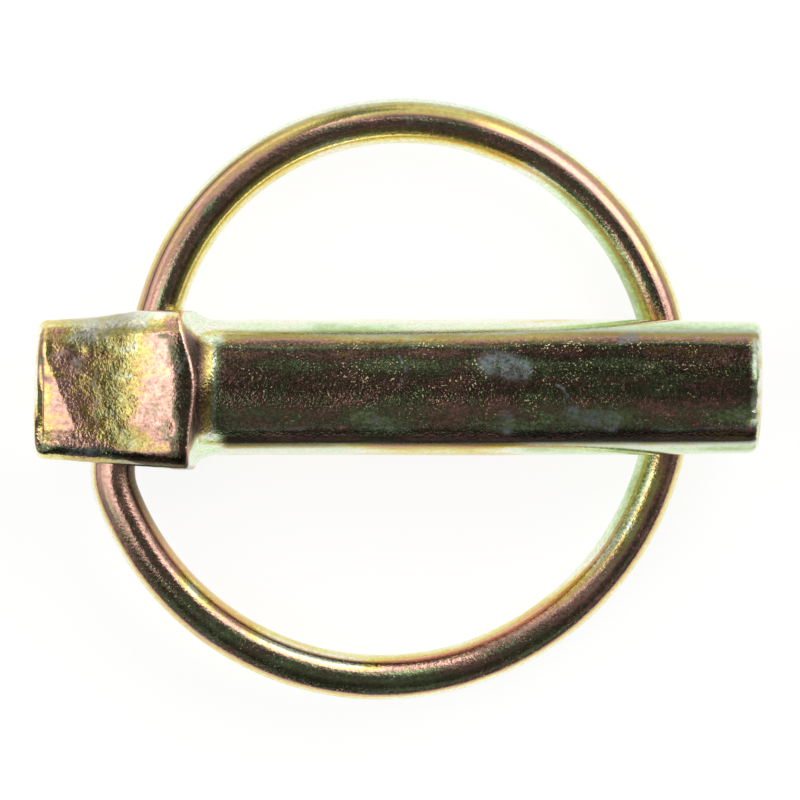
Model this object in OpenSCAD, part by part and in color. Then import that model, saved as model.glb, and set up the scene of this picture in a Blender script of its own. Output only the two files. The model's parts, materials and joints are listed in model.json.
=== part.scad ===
// Lynch pin: a round shank with an upset square head, and a wire ring that
// turns in a skewed bore through the head and snaps shut across the shank.
// It lies as it comes to rest, on the head's lower edge and the ring's far side.
// The origin is on the shank's axis where the plain shank starts, the shank
// points along +X with its tip a few degrees up, and +Z is up.

/* [Shank] */
// Diameter of the grip, the stretch that other parts turn or hang on
shank_d = 11.1; // [8:0.1:16]
// Length of the plain shank, from the shoulder's fillet to the tip
shank_len = 44.9; // [36:0.1:70]
// How much thinner the tip is than the grip, on the diameter
lead_taper = 0.24; // [0.1:0.02:1]
// Rounding of the cropped tip's edge
tip_round = 0.8; // [0.3:0.1:2]
// Slant of the cropped tip, away from square
tip_slant = 3; // [0:0.5:5]
// Crown of the cropped tip's face
tip_crown = 0.25; // [0:0.05:1]

/* [Head] */
// Length of the head, from its outer end to the start of the plain shank
head_len = 14.6; // [11:0.1:24]
// How much wider than the shank the head is across its flats at the shoulder
head_over = 1.9; // [1.2:0.1:5]
// How much wider than the shank the head is near its outer end
end_over = 0.5; // [0:0.1:3]
// Rounding of the four long edges
head_edge = 1.6; // [0.6:0.1:3]
// Rounding round the outer end face
end_round = 0.9; // [0.3:0.1:2]
// Crown of the outer end face
end_crown = 0.25; // [0:0.05:1]
// Slant of the outer end, away from square
end_slant = 1.5; // [0:0.5:4]
// Length at the outer end before the head starts to swell
swell_back = 3.8; // [2:0.1:6]
// Length over which the head swells to its full width
swell_len = 6; // [3:0.1:9]
// How much nearer the shoulder the top and bottom swell than the sides
face_lag = 1.8; // [0:0.1:3]
// Length of the rounded shoulder, back from the neck
shoulder_len = 1.4; // [0.8:0.1:3]
// Radius of the fillet from the shank up to the shoulder
neck_fillet = 1.5; // [0.8:0.1:2.4]
// Height that the fillet has climbed where it meets the shoulder
neck_rise = 0.48; // [0.3:0.02:0.7]
// How far the upset head sits off the shank's axis
head_drift = 0.22; // [0:0.02:0.6]

/* [Ring] */
// Diameter of the spring wire
wire_d = 3.7; // [2.4:0.1:5]
// How much the upper arm's long bend is tighter than half the ring's reach
arm_ease = 1.65; // [1:0.05:6]
// Radius of the tight bend at the lower mouth
root_bend = 5.5; // [3:0.5:8]
// How far the tip stands out past the closed ring
tip_past_ring = 5.6; // [3:0.1:14]
// How far the ring's middle lies below the shank's axis, seen from above
ring_drift = 0.6; // [-1.5:0.1:2]
// Least straight wire between the upper mouth and the upper arm's bend
arm_straight = 1.2; // [0.4:0.1:3]
// Least distance from the ring's middle to the start of that bend, along the bore
arm_lead = 1.9; // [1:0.1:4]
// Depth inside the lower mouth at which the tight bend starts
root_inset = 1.4; // [0:0.1:1.5]
// Space left in the bore between the ring's two ends
end_space = 2.4; // [1:0.1:5]

/* [Bore] */
// Skew of the bore from square across the head
bore_skew = 17.4; // [8:0.1:22]
// Distance from the start of the plain shank back to the bore's middle
bore_back = 6.36; // [5:0.1:9]
// Running clearance between the wire and the bore, on the radius
bore_fit = 0.08; // [0.04:0.01:0.1]
// Depth of the countersink at each mouth
sink_depth = 1.6; // [1:0.1:2.4]
// How much the countersink widens the mouth, on the radius
sink_flare = 0.9; // [0.3:0.1:2]

/* [Fit] */
// Gap between the closed ring and the shank it snaps against
ring_gap = 0.1; // [0.05:0.05:0.5]
// Space between the end of the plain grip and the closed ring
grip_gap = 1.2; // [0.8:0.1:3]

/* [Hidden] */
$fn = 96;

shank_r = shank_d / 2;
tip_r = shank_r - lead_taper / 2;
wire_r = wire_d / 2;
bore_r = wire_r + bore_fit;
bore_x = -bore_back;
head_w = shank_d + head_over;
head_end_w = shank_d + end_over;

// Where the closed ring crosses the shank, and where the grip ends short of it
cross_x = shank_len - tip_past_ring - wire_r;
grip_len = cross_x - wire_r - grip_gap;

// Ring's shape in its own plane: q runs out from the bore axis, s along it
cross_run = cross_x - bore_x;
ring_drop = shank_r + wire_r + ring_gap;
closed_turn = atan(ring_drop / (cross_run * cos(bore_skew)));
cross_q = cross_run * cos(bore_skew) / cos(closed_turn);
cross_s = cross_run * sin(bore_skew);
mid_s = cross_q / 2 * tan(bore_skew) - ring_drift;
cross_bulge = pow(cross_s - mid_s, 2) / cross_q;
reach = cross_q + cross_bulge;
arm_bend = reach / 2 - arm_ease;

// Where each arm's bend starts along the bore axis
mouth_s = head_w / 2 / cos(bore_skew);
upper_s = max(mouth_s + arm_straight, mid_s + arm_lead);
lower_s = root_inset - mouth_s;

// Far arcs that touch at the ring's far point and run into the arms' bends
upper_r = far_radius(upper_s - mid_s, arm_bend);
lower_r = far_radius(mid_s - lower_s, root_bend);
upper_mid = [reach - upper_r, mid_s];
lower_mid = [reach - lower_r, mid_s];
arm_mid = [arm_bend, upper_s];
root_mid = [root_bend, lower_s];
upper_join = direction(arm_mid - upper_mid);
lower_join = direction(root_mid - lower_mid);

// Radius of an arc through the far point that is tangent to a bend at the bore
function far_radius(side, bend) = reach / 2 + side * side / (2 * (reach - 2 * bend));
function direction(v) = atan2(v[1], v[0]);

// Wire's route outside the bore, as [place, heading] pairs from mouth to mouth
wire_sides = 24;
arc_step = 5;
stub_lap = 0.15;
sweep_skin = 0.01;
function arc_route(mid, r, from, to) = [
    let (steps = ceil((from - to) / arc_step))
        for (k = [1 : steps])
            let (a = from + (to - from) * k / steps)
            [mid + r * [cos(a), sin(a)], a]
];
function ring_route() = concat(
    [[[0, upper_s], 180]],
    arc_route(arm_mid, arm_bend, 180, upper_join),
    arc_route(upper_mid, upper_r, upper_join, 0),
    arc_route(lower_mid, lower_r, 0, lower_join),
    arc_route(root_mid, root_bend, lower_join, -180)
);

function blend(a, b, t) = a + (b - a) * t;
function clamp(t) = min(1, max(0, t));
function ease(t) = clamp(t) * clamp(t) * (3 - 2 * clamp(t));
function along(x, from, to) = ease((x - from) / (to - from));

// Every section is [place along X, half width, half height, rounding of its corners]
edge_steps = 9;
section_points = 4 * edge_steps;
round_angles = [0 : 22.5 : 90];
crown_shares = [0.35, 0.7];

// Head's sections: rounded squares that swell to the shoulder and turn round at the neck
neck_lap = 0.1;
neck_back = sqrt(2 * neck_fillet * neck_rise - pow(neck_rise, 2));
neck_x = -neck_back;
neck_r = shank_r + neck_rise + neck_lap;
crown_x = end_crown - head_len;
body_x = crown_x + end_round;
swell_x = swell_back - head_len;
shoulder_x = neck_x - shoulder_len;
corner_x = shoulder_x - 0.8 * shoulder_len;

function round_square(x, half, r) = [x, half, half, r];
function body_half(x) = blend(head_end_w, head_w, along(x, swell_x, swell_x + swell_len)) / 2;
function corner(x, half) = blend(head_edge, half, along(x, corner_x, neck_x));
function end_sections() = [
    for (k = crown_shares)
        round_square(
            crown_x - end_crown * (1 - k * k),
            k * (head_end_w / 2 - end_round),
            k * head_edge
        ),
    for (a = round_angles)
        let (inset = end_round * (1 - sin(a)))
        round_square(body_x - end_round * cos(a), head_end_w / 2 - inset, head_edge - inset / 2)
];
function body_sections() = [
    for (t = [0.1 : 0.1 : 0.9])
        let (x = blend(body_x, shoulder_x, t))
        [x, body_half(x), body_half(x - face_lag), corner(x, body_half(x))]
];
function shoulder_sections() = [
    for (a = [0 : 15 : 90])
        let (x = neck_x - shoulder_len * (1 - sin(a)))
        let (half = neck_r + (head_w / 2 - neck_r) * cos(a))
        round_square(x, half, corner(x, half))
];

// Tip's sections: circles whose flats touch the lead, rounded over to the crowned crop
tip_depth = 2.4;
tip_lap = 0.2;
tip_skin = 0.01;
tip_x = shank_len - tip_depth;

function lead_r(x) = blend(shank_r, tip_r, (x - grip_len) / (shank_len - grip_len));
function tip_half(x) = lead_r(x) / cos(45 / edge_steps) + tip_skin;
function tip_sections() = [
    round_square(tip_x, tip_half(tip_x), tip_half(tip_x)),
    for (a = round_angles)
        let (x = shank_len - tip_round * (1 - sin(a)))
        let (r = tip_half(x) - tip_round * (1 - cos(a)))
        round_square(x, r, r),
    for (k = crown_shares)
        let (r = (1 - k) * (tip_r - tip_round))
        round_square(shank_len + tip_crown * (1 - pow(1 - k, 2)), r, r)
];

// How far a section sits off the shank's axis, and how much it leans over its width
function drift(x) = -head_drift * (1 - along(x, shoulder_x, neck_x));
function lean(x) =
    x < 0
        ? tan(end_slant) * (1 - along(x, crown_x, swell_x))
        : tan(tip_slant) * along(x, tip_x, shank_len - tip_round);

// One section's points, half a step off the corners' start so that flats stay flat
function section_ring(s) = [
    for (side = [0 : 3], step = [0.5 : edge_steps - 0.5])
        let (a = 90 * side + 90 * step / edge_steps)
        let (y = drift(s[0]) + sign(cos(a)) * (s[1] - s[3]) + s[3] * cos(a))
        let (z = sign(sin(a)) * (s[2] - s[3]) + s[3] * sin(a))
        [s[0] + lean(s[0]) * y, y, z]
];

// Rest: the turn about the bore's line that sets the head's lower corner and the
// ring's far side on one level
far_point = [reach * cos(closed_turn), -reach * sin(closed_turn)];
corner_in = head_w / 2 - head_edge;
full_x = min(swell_x + swell_len + face_lag, shoulder_x);
corner_point = [
    (full_x - bore_x) * cos(bore_skew) - corner_in * sin(bore_skew),
    -corner_in
];
rest_run = far_point - corner_point;
rest_turn = atan(-rest_run[1] / rest_run[0]) + asin((wire_r - head_edge) / norm(rest_run));
bore_line = [sin(bore_skew), cos(bore_skew), 0];

// Skin through a list of sections with the same number of points
module loft(sections) {
    count = len(sections);
    points = [for (s = sections) each section_ring(s)];
    last = (count - 1) * section_points;
    sides = [
        for (k = [0 : count - 2], j = [0 : section_points - 1])
            let (a = k * section_points + j)
            let (b = k * section_points + (j + 1) % section_points)
            each [[a, a + section_points, b], [b, a + section_points, b + section_points]]
    ];
    caps = [
        [for (j = [0 : section_points - 1]) j],
        [for (j = [section_points - 1 : -1 : 0]) last + j]
    ];
    polyhedron(points = points, faces = concat(sides, caps), convexity = 4);
}

module along_x() {
    rotate([0, 90, 0]) children();
}

// The whole pin as it lies
module lie() {
    rotate(-rest_turn, bore_line) children();
}

// Frame of the bore: its Y runs along the bore, its X towards the tip
module bore_frame() {
    translate([bore_x, 0, 0]) rotate([0, 0, -bore_skew]) children();
}

module head() {
    loft(concat(end_sections(), body_sections(), shoulder_sections()));
}

// Fillet, grip and lead, turned as one profile
module shank() {
    along_x() rotate_extrude() {
        difference() {
            translate([0, neck_x - neck_lap]) square([shank_r + neck_fillet, neck_back + neck_lap]);
            translate([shank_r + neck_fillet, 0]) circle(neck_fillet);
        }
        polygon([
            [0, shoulder_x],
            [shank_r, shoulder_x],
            [shank_r, grip_len],
            [lead_r(tip_x + tip_lap), tip_x + tip_lap],
            [0, tip_x + tip_lap]
        ]);
    }
}

// Cropped tip: round sections that ease over the edge and lean with the crop
module tip() {
    loft(tip_sections());
}

// Skewed bore with a countersink at each mouth
module ring_bore() {
    bore_frame() {
        rotate([-90, 0, 0]) cylinder(h = 4 * mouth_s, r = bore_r, center = true);
        for (side = [-1, 1])
            rotate([-90 * side, 0, 0]) translate([0, 0, mouth_s - sink_depth])
                cylinder(h = 2 * sink_depth, r1 = bore_r, r2 = bore_r + 2 * sink_flare);
    }
}

// Round wire swept along a route in the ring's plane; its flats touch the wire's circle
module wire_sweep(route) {
    r = wire_r / cos(180 / wire_sides) + sweep_skin;
    count = len(route);
    points = [
        for (stop = route, j = [0 : wire_sides - 1])
            let (a = 360 * j / wire_sides)
            let (out = r * cos(a))
            [stop[0][0] + out * cos(stop[1]), stop[0][1] + out * sin(stop[1]), r * sin(a)]
    ];
    sides = [
        for (k = [0 : count - 2], j = [0 : wire_sides - 1])
            let (a = k * wire_sides + j)
            let (b = k * wire_sides + (j + 1) % wire_sides)
            [b, a, a + wire_sides, b + wire_sides]
    ];
    caps = [
        [for (j = [0 : wire_sides - 1]) j],
        [for (j = [wire_sides - 1 : -1 : 0]) (count - 1) * wire_sides + j]
    ];
    polyhedron(points = points, faces = concat(sides, caps), convexity = 6);
}

module wire_stub(from, to) {
    translate([0, from, 0]) rotate([-90, 0, 0]) cylinder(h = to - from, r = wire_r);
}

module pin() {
    color([0.60, 0.55, 0.28]) lie() difference() {
        union() {
            head();
            shank();
            tip();
        }
        ring_bore();
    }
}

module ring() {
    color([0.70, 0.62, 0.36]) lie() bore_frame() rotate([0, closed_turn, 0]) {
        wire_stub(end_space / 2, upper_s + stub_lap);
        wire_sweep(ring_route());
        wire_stub(lower_s - stub_lap, -end_space / 2);
    }
}

pin();
ring();
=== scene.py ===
"""Lynch pin: the looks of a forged, yellow-chromated pin and its spring-wire ring.

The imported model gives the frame. Both of its nodes are replaced by modelled meshes that keep the
same sizes and places: a forging lofted from sections, with its bore drilled through the head, and
a ring whose wire follows its route through a geometry-nodes sweep.
"""

import json
import logging
import math
from collections.abc import Sequence
from dataclasses import dataclass, field, fields
from enum import Enum

import bmesh
import bpy
import numpy as np
from mathutils import Matrix, Vector

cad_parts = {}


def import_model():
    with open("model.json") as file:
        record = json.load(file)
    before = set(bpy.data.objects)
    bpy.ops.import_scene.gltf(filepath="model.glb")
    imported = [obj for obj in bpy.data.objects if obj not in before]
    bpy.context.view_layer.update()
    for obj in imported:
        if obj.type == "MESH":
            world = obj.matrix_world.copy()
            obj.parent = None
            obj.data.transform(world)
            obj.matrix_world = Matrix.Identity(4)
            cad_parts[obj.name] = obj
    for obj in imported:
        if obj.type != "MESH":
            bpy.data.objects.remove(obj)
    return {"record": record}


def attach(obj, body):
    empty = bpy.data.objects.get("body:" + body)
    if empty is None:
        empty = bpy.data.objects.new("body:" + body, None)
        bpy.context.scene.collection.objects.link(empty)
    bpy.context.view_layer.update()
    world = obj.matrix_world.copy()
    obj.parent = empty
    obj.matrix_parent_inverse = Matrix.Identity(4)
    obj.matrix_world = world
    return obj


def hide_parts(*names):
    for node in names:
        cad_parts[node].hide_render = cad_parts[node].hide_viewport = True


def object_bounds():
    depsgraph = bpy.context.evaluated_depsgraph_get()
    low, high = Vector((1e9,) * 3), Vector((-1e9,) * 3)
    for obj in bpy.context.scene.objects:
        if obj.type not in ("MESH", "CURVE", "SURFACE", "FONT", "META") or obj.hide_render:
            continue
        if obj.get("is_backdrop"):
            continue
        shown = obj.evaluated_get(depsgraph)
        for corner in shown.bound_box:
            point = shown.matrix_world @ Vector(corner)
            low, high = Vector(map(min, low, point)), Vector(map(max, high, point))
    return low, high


LOG = logging.getLogger("lynch_pin")
MM = 0.001
LEAST_DIVISOR = 1e-9
SLIVER = 2e-6

Array = np.ndarray
Amount = float | np.ndarray
Socket = bpy.types.NodeSocket
Feed = float | tuple | bpy.types.NodeSocket
Curve = Sequence[tuple[float, float]]


def ease(start: Amount, end: Amount, value: Amount) -> Array:
    """Smooth rise from 0 at start to 1 at end; a start above the end makes it fall."""
    t = np.clip((np.asarray(value, float) - start) / (end - start), 0.0, 1.0)
    return t * t * (3.0 - 2.0 * t)


def band(low: float, rise_end: float, fall_start: float, high: float, value: Amount) -> Array:
    """Smooth rise from 0 at low to 1 at rise_end, and fall from fall_start to 0 at high."""
    return ease(low, rise_end, value) * ease(high, fall_start, value)


def mix(a: Amount, b: Amount, share: Amount) -> Amount:
    """Value between a and b."""
    return a + (b - a) * share


def smooth_curve(points: Curve, value: Array) -> Array:
    """Rounded curve through a few points.

    Args:
        points: Places and heights, in rising order of place.
        value: Places to read the curve at.

    Returns:
        Heights with eased slopes through the points.
    """
    place, height = np.array(points, float).T
    slope = np.gradient(height, place)
    v = np.clip(value, place[0], place[-1])
    k = np.clip(np.searchsorted(place, v) - 1, 0, len(place) - 2)
    run = place[k + 1] - place[k]
    t = (v - place[k]) / run
    rise = height[k] * (1 + 2 * t) * (1 - t) ** 2 + height[k + 1] * t * t * (3 - 2 * t)
    lean = slope[k] * t * (1 - t) ** 2 + slope[k + 1] * t * t * (t - 1)
    return rise + run * lean


def placed(name: str, data: bpy.types.ID) -> bpy.types.Object:
    """Adds an object to the scene, at the origin.

    Args:
        name: Name of the object.
        data: Its mesh, light or camera.

    Returns:
        The new object.
    """
    thing = bpy.data.objects.new(name, data)
    bpy.context.scene.collection.objects.link(thing)
    return thing


def settle(piece: bpy.types.Object) -> bpy.types.Mesh:
    """Gives a piece the plain mesh that its modifiers make, and removes them.

    Args:
        piece: The piece, with its modifiers set.

    Returns:
        The piece's new mesh, named after it.
    """
    bpy.context.view_layer.update()
    made = piece.evaluated_get(bpy.context.evaluated_depsgraph_get())
    shaped = bpy.data.meshes.new_from_object(made)
    piece.modifiers.clear()
    rough_mesh = piece.data
    piece.data = shaped
    shaped.name = piece.name
    bpy.data.meshes.remove(rough_mesh)
    return shaped


def skin_points(mesh: bpy.types.Mesh, place: Matrix, facing: Matrix) -> tuple[Array, Array]:
    """Reads a mesh's vertices in frames of a piece's own.

    Args:
        mesh: The mesh, in the row frame.
        place: Frame for the vertices' places.
        facing: Frame for their normals.

    Returns:
        Places in millimetres, and normals.
    """
    points, out = np.zeros((2, len(mesh.vertices) * 3))
    mesh.vertices.foreach_get("co", points)
    mesh.vertex_normals.foreach_get("vector", out)
    turn = np.array(place)
    points = (points.reshape(-1, 3) - turn[:3, 3]) @ turn[:3, :3] / MM
    return points, out.reshape(-1, 3) @ np.array(facing)[:3, :3]


class LatticeNoise:
    """Repeatable smooth noise on a lattice of random heights."""

    SIDE = 32
    LAYER_SHIFT = 7.3

    def __init__(self, seed: int) -> None:
        """Fills the lattice with random heights that the seed fixes."""
        rng = np.random.default_rng(seed)
        self.heights = rng.uniform(-1.0, 1.0, (self.SIDE, self.SIDE, self.SIDE))

    def layer(self, points: Array) -> Array:
        """One layer of noise.

        Args:
            points: Places, in lattice steps.

        Returns:
            Heights from -1 to 1.
        """
        base = np.floor(points).astype(int)
        share = points - base
        share = share * share * (3.0 - 2.0 * share)
        total = np.zeros(points.shape[:-1])
        for corner in np.ndindex(2, 2, 2):
            cell = (base + corner) % self.SIDE
            weight = np.prod(np.where(corner, share, 1.0 - share), axis=-1)
            total += weight * self.heights[cell[..., 0], cell[..., 1], cell[..., 2]]
        return total

    def fractal(self, points: Array, size: float, octaves: int = 3) -> Array:
        """Layered noise.

        Args:
            points: Places, in millimetres.
            size: Length of the widest waves, in millimetres.
            octaves: Number of layers, each half as wide and half as high.

        Returns:
            Heights of about -1 to 1.
        """
        total = np.zeros(points.shape[:-1])
        for k in range(octaves):
            total += self.layer(points * 2**k / size + self.LAYER_SHIFT * k) / 2**k
        return total


@dataclass(frozen=True)
class PinFrame:
    """The pin's own axes in the row frame: X along the shank, Y across, Z out of the head's top.

    Attributes:
        matrix: Turns and moves pin coordinates into the row frame.
        bore_x: Place of the bore's middle along the shank, in millimetres.
        bore_skew: Turn of the bore away from square across the head, in radians.
        shank_r: Radius of the shank, in millimetres.
        grip_len: Length of the plain grip, in millimetres.
    """

    matrix: Matrix
    bore_x: float
    bore_skew: float
    shank_r: float
    grip_len: float

    @classmethod
    def from_record(cls, record: dict) -> "PinFrame":
        """Works out the axes from the record's shank mount and ring joint.

        Args:
            record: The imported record.

        Returns:
            The pin's frame.
        """
        mount = next(m for m in record["mounts"] if m["name"] == "shank")
        joint = next(j for j in record["behaviour"]["joints"] if j["name"] == "ring_swing")
        origin = Vector(mount["pos_m"])
        x_axis = Vector(mount["axis"]).normalized()
        bore = Vector(joint["axis"]).normalized()
        y_axis = (bore - bore.dot(x_axis) * x_axis).normalized()
        turn = Matrix((x_axis, y_axis, x_axis.cross(y_axis))).transposed().to_4x4()
        return cls(
            matrix=Matrix.Translation(origin) @ turn,
            bore_x=(Vector(joint["pos_m"]) - origin).dot(x_axis) / MM,
            bore_skew=math.asin(bore.dot(x_axis)),
            shank_r=mount["dims"]["r_mm"],
            grip_len=mount["dims"]["length_mm"],
        )

    def bore_matrix(self) -> Matrix:
        """Frame of the bore in the row frame: Y along the bore, X towards the tip."""
        place = Matrix.Translation((self.bore_x * MM, 0.0, 0.0))
        return self.matrix @ place @ Matrix.Rotation(-self.bore_skew, 4, "Z")


class Bench:
    """Adds nodes to one tree and joins them."""

    def __init__(self, tree: bpy.types.NodeTree) -> None:
        """Takes the tree that the nodes go into."""
        self.tree = tree

    def node(self, kind: str, inputs: dict | None = None, **settings: object) -> bpy.types.Node:
        """Adds a node.

        Args:
            kind: Blender's name of the node type.
            inputs: Sockets by name or number, each with a value or another node's output.
            settings: Properties of the node.

        Returns:
            The new node.
        """
        node = self.tree.nodes.new(kind)
        for name, value in settings.items():
            setattr(node, name, value)
        for socket, value in (inputs or {}).items():
            if isinstance(value, bpy.types.NodeSocket):
                self.tree.links.new(value, node.inputs[socket])
            else:
                node.inputs[socket].default_value = value
        return node

    def math(self, operation: str, a: Feed, b: Feed = 0.0, clamp: bool = False) -> Socket:
        """Output of a Math node on one or two values or outputs."""
        node = self.node("ShaderNodeMath", {0: a, 1: b}, operation=operation, use_clamp=clamp)
        return node.outputs[0]

    def times(self, a: Feed, b: Feed) -> Socket:
        """Product of two values or outputs."""
        return self.math("MULTIPLY", a, b)

    def map_range(self, value: Feed, low: float, high: float, to_low: float, to_high: float) -> Socket:
        """Output that runs from one value to another while the input crosses a range, clamped."""
        inputs = {0: value, 1: low, 2: high, 3: to_low, 4: to_high}
        return self.node("ShaderNodeMapRange", inputs).outputs[0]

    def noise(self, place: Socket, scale: float, detail: float = 2.0, rough: float = 0.5) -> Socket:
        """Output of a Noise node, from about 0.2 to 0.8."""
        inputs = {"Vector": place, "Scale": scale, "Detail": detail, "Roughness": rough}
        return self.node("ShaderNodeTexNoise", inputs).outputs["Fac"]

    def drawn_out(self, place: Socket, share: float) -> Socket:
        """Place squeezed along X, so that a pattern on it is drawn out that way."""
        return self.node("ShaderNodeMapping", {"Vector": place, "Scale": (share, 1.0, 1.0)}).outputs[0]

    def attribute(self, name: str) -> Socket:
        """Value of a piece's own attribute."""
        return self.node("ShaderNodeAttribute", attribute_name=name).outputs["Fac"]

    def ramp(self, value: Feed, stops: list[tuple[float, tuple]]) -> Socket:
        """Reads a colour from a ramp.

        Args:
            value: Place on the ramp, from 0 to 1.
            stops: Places, in rising order, and their colours.

        Returns:
            The colour.
        """
        node = self.node("ShaderNodeValToRGB", {0: value})
        elements = node.color_ramp.elements
        while len(elements) < len(stops):
            elements.new(0.5)
        for element, (place, colour) in zip(elements, stops):
            element.position = place
            element.color = (*colour, 1.0)
        return node.outputs["Color"]

    def blend(self, mode: str, share: Feed, a: Feed, b: Feed) -> Socket:
        """Colour b laid over colour a."""
        node = self.node("ShaderNodeMix", {0: share, 6: a, 7: b}, data_type="RGBA", blend_type=mode)
        return node.outputs[2]


class FilmHue(Enum):
    """Place of each colour in one turn of the chromate film's run of thickness."""

    PALE = 0.0
    STRAW = 0.125
    GOLD = 0.25
    ROSE = 0.375
    PLUM = 0.5
    TEAL = 0.625
    LEAF = 0.75
    LIME = 0.875


FILM_COLOURS = {
    FilmHue.PALE: (0.93, 0.92, 0.78),
    FilmHue.STRAW: (0.82, 0.76, 0.27),
    FilmHue.GOLD: (0.74, 0.52, 0.19),
    FilmHue.ROSE: (0.80, 0.46, 0.38),
    FilmHue.PLUM: (0.44, 0.28, 0.21),
    FilmHue.TEAL: (0.34, 0.37, 0.21),
    FilmHue.LEAF: (0.48, 0.62, 0.30),
    FilmHue.LIME: (0.75, 0.91, 0.62),
}


@dataclass(frozen=True)
class ChromateFilm:
    """Yellow zinc chromate over bright zinc: a metal whose thin film shifts in colour.

    Attributes:
        name: Name of the material.
        patch_scale: Waves per metre of the film's thickness patches.
        patch_depth: How far those patches shift the colour.
        grain_scale: Waves per metre of the fine crystal grain.
        grain_depth: Height of that grain, in metres.
        smooth_rough: Roughness where the film is bright.
        dull_rough: Roughness where it is dulled.
        dull_colour: Colour of a dulled, chalky place.
        crystal_colours: The two colours of the coarse bright crystals.
    """

    name: str
    patch_scale: float = 330.0
    patch_depth: float = 1.3
    grain_scale: float = 4200.0
    grain_depth: float = 0.00003
    smooth_rough: float = 0.15
    dull_rough: float = 0.5
    dull_colour: tuple[float, float, float, float] = (0.21, 0.25, 0.27, 1.0)
    crystal_colours: tuple[tuple, tuple] = ((0.95, 0.66, 0.46, 1.0), (0.92, 0.88, 0.42, 1.0))

    def hue(self, bench: Bench, place: Socket) -> Socket:
        """Film colour: painted thickness, drifting patches and a fine mottle, round the ramp.

        Args:
            bench: Adds the nodes.
            place: The piece's Object coordinates.

        Returns:
            The colour.
        """
        patches = bench.noise(bench.drawn_out(place, 0.4), self.patch_scale, 5.0, 0.66)
        mottle = bench.noise(place, self.grain_scale * 0.5, 3.0, 0.65)
        drift = bench.times(bench.math("SUBTRACT", patches, 0.5), self.patch_depth)
        fine = bench.times(bench.math("SUBTRACT", mottle, 0.5), 0.5)
        swing = bench.times(bench.math("ADD", drift, fine), bench.attribute("drift"))
        depth = bench.math("FRACT", bench.math("ADD", bench.attribute("film"), swing))
        stops = [(hue.value, FILM_COLOURS[hue]) for hue in FilmHue]
        return bench.ramp(depth, [*stops, (1.0, FILM_COLOURS[FilmHue.PALE])])

    def specks(self, bench: Bench, place: Socket) -> Socket:
        """Clusters of coarse bright crystals.

        Args:
            bench: Adds the nodes.
            place: The piece's Object coordinates.

        Returns:
            Their cover, from 0 to 1.
        """
        points = bench.noise(place, self.grain_scale * 1.4, 1.0, 0.5)
        points = bench.map_range(points, 0.62, 0.70, 0.0, 1.0)
        clusters = bench.noise(bench.drawn_out(place, 0.6), self.patch_scale * 1.6, 3.0, 0.6)
        clusters = bench.map_range(clusters, 0.44, 0.62, 0.15, 1.0)
        return bench.times(points, bench.times(clusters, bench.attribute("speck")))

    def build(self) -> bpy.types.Material:
        """Makes the material. It reads the piece's film, drift, painted lightness, dull, speck and grain.

        Returns:
            The finished material.
        """
        material = bpy.data.materials.new(self.name)
        material.use_nodes = True
        tree = material.node_tree
        tree.nodes.clear()
        bench = Bench(tree)
        place = bench.node("ShaderNodeTexCoord").outputs["Object"]
        tone, dull, grain = bench.attribute("tone"), bench.attribute("dull"), bench.attribute("grain")
        specks = self.specks(bench, place)

        mottle = bench.noise(place, self.grain_scale * 0.8, 3.0, 0.7)
        shade = bench.map_range(mottle, 0.32, 0.68, 0.62, 1.32)
        shade = bench.math("ADD", 1.0, bench.times(bench.math("SUBTRACT", shade, 1.0), grain))
        # Painted shade and painted highlights: the painted lightness, times a fine random mottle, darkens or
        # lightens the film's colour.
        value = bench.times(tone, shade)
        grey = bench.node("ShaderNodeCombineColor", {0: value, 1: value, 2: value}).outputs[0]
        colour = bench.blend("MULTIPLY", 1.0, self.hue(bench, place), grey)
        crystal = bench.map_range(bench.noise(place, self.grain_scale * 0.3, 1.0), 0.4, 0.6, 0.0, 1.0)
        crystal = bench.blend("MIX", crystal, *self.crystal_colours)
        colour = bench.blend("MIX", specks, colour, crystal)
        cloud = bench.noise(place, self.patch_scale * 4, 4.0, 0.7)
        chalk = bench.math("MULTIPLY", dull, bench.map_range(cloud, 0.36, 0.6, 0.15, 1.0), clamp=True)
        colour = bench.blend("MIX", chalk, colour, self.dull_colour)

        blotch = bench.noise(place, self.patch_scale * 5, 3.0, 0.6)
        gloss = bench.map_range(blotch, 0.3, 0.7, self.smooth_rough * 0.75, self.smooth_rough * 1.3)
        matt = bench.math("MAXIMUM", chalk, bench.times(specks, 1.1))
        wear = bench.times(matt, self.dull_rough - self.smooth_rough)
        rough = bench.math("ADD", gloss, wear, clamp=True)

        height = bench.times(bench.noise(place, self.grain_scale, 2.0, 0.55), grain)
        relief = {"Strength": 1.0, "Distance": self.grain_depth, "Height": height}
        bump = bench.node("ShaderNodeBump", relief).outputs[0]
        metal = {"Base Color": colour, "Metallic": 1.0, "Roughness": rough, "Normal": bump}
        shader = bench.node("ShaderNodeBsdfPrincipled", metal)
        bench.node("ShaderNodeOutputMaterial", {"Surface": shader.outputs[0]})
        return material


@dataclass(frozen=True)
class StudioFloor:
    """Plain matt floor whose paleness is mostly its own glow, so that shadows stay faint.

    Attributes:
        name: Name of the material.
        colour: Colour under the lights.
        glow: Strength of its white glow.
        rough: Roughness.
    """

    name: str = "pale_floor"
    colour: tuple[float, float, float, float] = (0.2, 0.2, 0.2, 1.0)
    glow: float = 0.87
    rough: float = 0.9

    def build(self) -> bpy.types.Material:
        """Makes the material.

        Returns:
            The finished material.
        """
        material = bpy.data.materials.new(self.name)
        material.use_nodes = True
        shader = material.node_tree.nodes["Principled BSDF"]
        values = {
            "Base Color": self.colour, "Roughness": self.rough, "Specular IOR Level": 0.0,
            "Emission Color": (1.0, 1.0, 1.0, 1.0), "Emission Strength": self.glow,
        }
        for name, value in values.items():
            shader.inputs[name].default_value = value
        return material


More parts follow.
